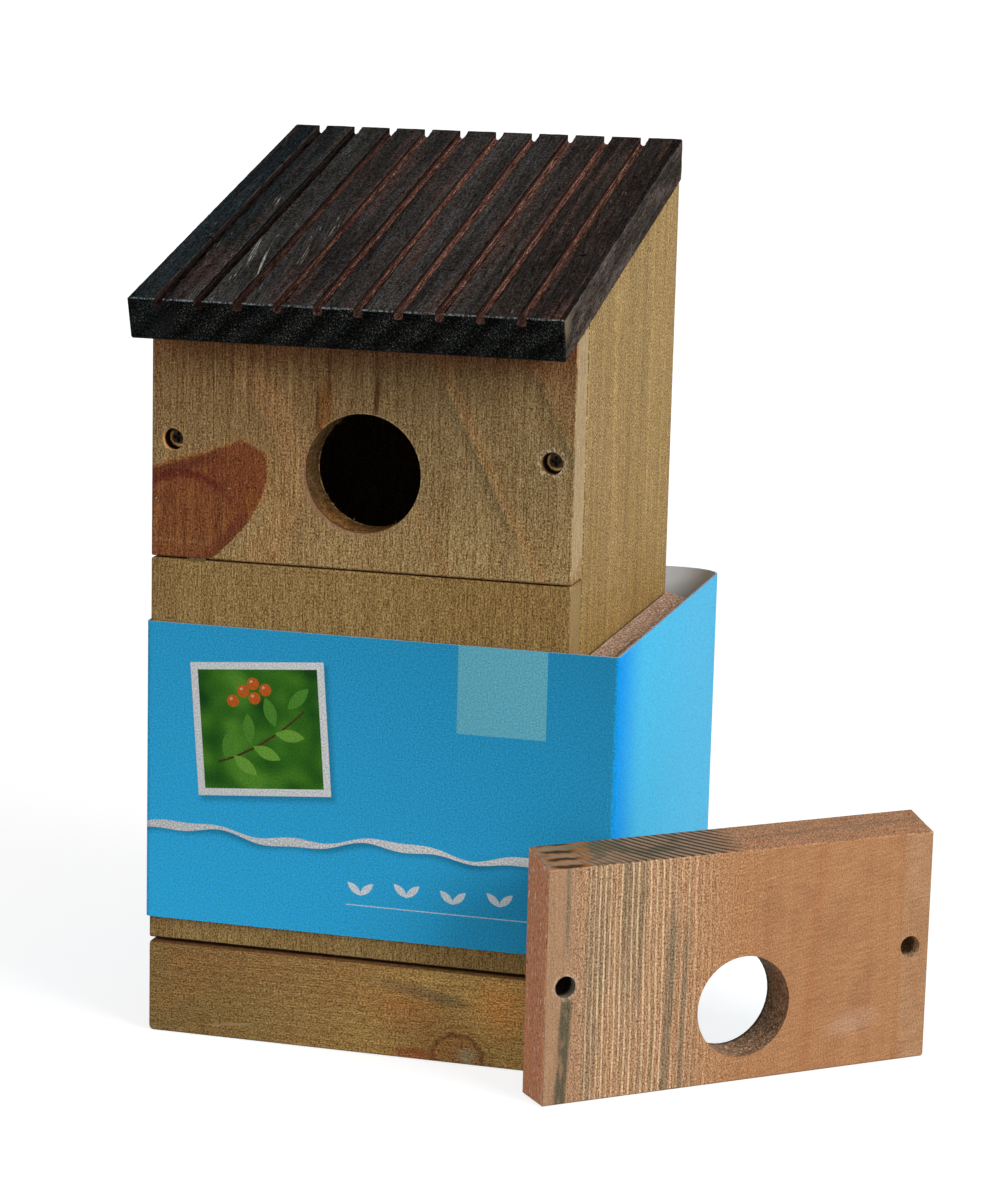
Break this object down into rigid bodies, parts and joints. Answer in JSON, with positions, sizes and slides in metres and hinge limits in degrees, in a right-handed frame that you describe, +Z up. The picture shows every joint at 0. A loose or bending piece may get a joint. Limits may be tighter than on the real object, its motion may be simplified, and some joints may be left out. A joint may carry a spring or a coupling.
{
  "type": "bird nest box",
  "caption": "Wooden bird nest box with a grooved sloping roof, a screwed entrance plate, spare plates with smaller holes and a card sleeve.",
  "frame": {"origin": "middle of the box's underside, on the surface that it stands on", "axes": "+Z up; the front with the entrance hole faces -Y; +X is the box's right as seen from the front"},
  "size_m": [0.2098, 0.1627, 0.2448],
  "materials": {
    "tan_softwood": "sawn yellow-tan softwood, vertical grain, pressure treated",
    "greenish_softwood": "sawn greenish-tan softwood with a reddish knot stain",
    "orange_softwood": "sawn orange-brown softwood, ribbed growth rings with grey-green stains",
    "pink_softwood": "rough sawn pinkish-tan softwood",
    "stained_softwood": "dark brown stain, worn and scratched, bare reddish wood in the grooves",
    "yellow_zinc": "yellow passivated zinc on steel",
    "bright_steel": "plain bright steel",
    "printed_card": "coated card, printed blue outside, white inside"
  },
  "bodies": {
    "box": {"left_side_panel": "tan_softwood", "right_side_panel": "tan_softwood", "back_panel": "tan_softwood", "floor_board": "tan_softwood", "base_rail": "greenish_softwood", "middle_front_panel": "greenish_softwood", "entrance_plate_32": "greenish_softwood", "roof_board": "stained_softwood", "middle_brad_left_low": "bright_steel", "middle_brad_left_high": "bright_steel", "middle_brad_right_low": "bright_steel", "middle_brad_right_high": "bright_steel", "back_brad_left_low": "bright_steel", "back_brad_left_high": "bright_steel", "back_brad_right_low": "bright_steel", "back_brad_right_high": "bright_steel", "floor_brad_left_front": "bright_steel", "floor_brad_left_rear": "bright_steel", "floor_brad_right_front": "bright_steel", "floor_brad_right_rear": "bright_steel", "roof_brad_left_front": "bright_steel", "roof_brad_left_rear": "bright_steel", "roof_brad_right_front": "bright_steel", "roof_brad_right_rear": "bright_steel"},
    "plate_screw_left": {"plate_screw_left": "yellow_zinc"},
    "plate_screw_right": {"plate_screw_right": "yellow_zinc"},
    "sleeve": {"card_sleeve": "printed_card"},
    "small_spare_plate": {"spare_plate_25": "pink_softwood"},
    "standing_spare_plate": {"spare_plate_28": "orange_softwood"}
  },
  "joints": [
    {"name": "left_screw_out", "type": "slide", "parent": "box", "child": "plate_screw_left", "axis": [0, -1, 0], "range_m": [0, 0.032]},
    {"name": "right_screw_out", "type": "slide", "parent": "box", "child": "plate_screw_right", "axis": [0, -1, 0], "range_m": [0, 0.032]},
    {"name": "sleeve_slide", "type": "slide", "parent": "box", "child": "sleeve", "axis": [0, 0, 1], "range_m": [-0.12, 0.015]},
    {"name": "small_spare_out", "type": "slide", "parent": "sleeve", "child": "small_spare_plate", "axis": [0, 0, 1], "range_m": [0, 0.072]},
    {"name": "standing_spare_lift", "type": "slide", "parent": "box", "child": "standing_spare_plate", "axis": [0, 0, 1], "range_m": [0, 0.08]}
  ]
}
